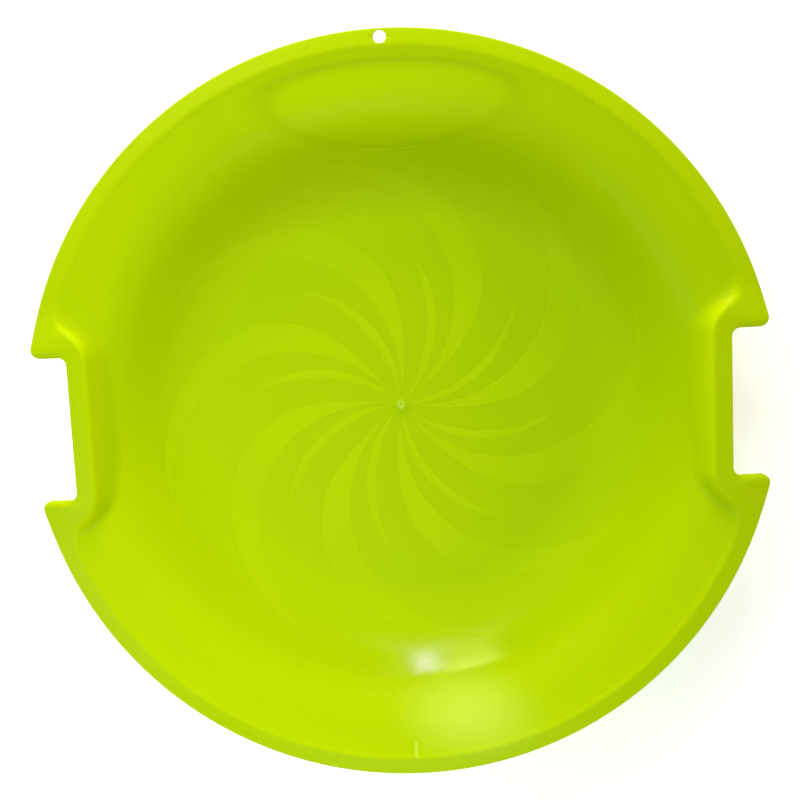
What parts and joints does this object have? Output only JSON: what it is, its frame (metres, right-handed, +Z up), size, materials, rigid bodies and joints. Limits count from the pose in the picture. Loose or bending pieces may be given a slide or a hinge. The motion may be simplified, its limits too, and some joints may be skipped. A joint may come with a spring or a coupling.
{
  "type": "saucer sled",
  "caption": "Round dished plastic snow sled with a flat floor, curved wall, drooping rim lip, raised hand grips at the sides, a tow hole in the front lip and a low pinwheel relief on the floor.",
  "frame": {"origin": "centre of the flat underside, on the ground", "axes": "+Z up, +Y towards the tow hole at the front, +X towards the grip on the rider's right when facing the tow hole"},
  "size_m": [0.6434, 0.66, 0.097],
  "materials": {
    "disc_plastic": "lime green polyethylene, satin with a fine moulded grain"
  },
  "bodies": {
    "root": {"sled_disc": "disc_plastic"}
  },
  "joints": []
}
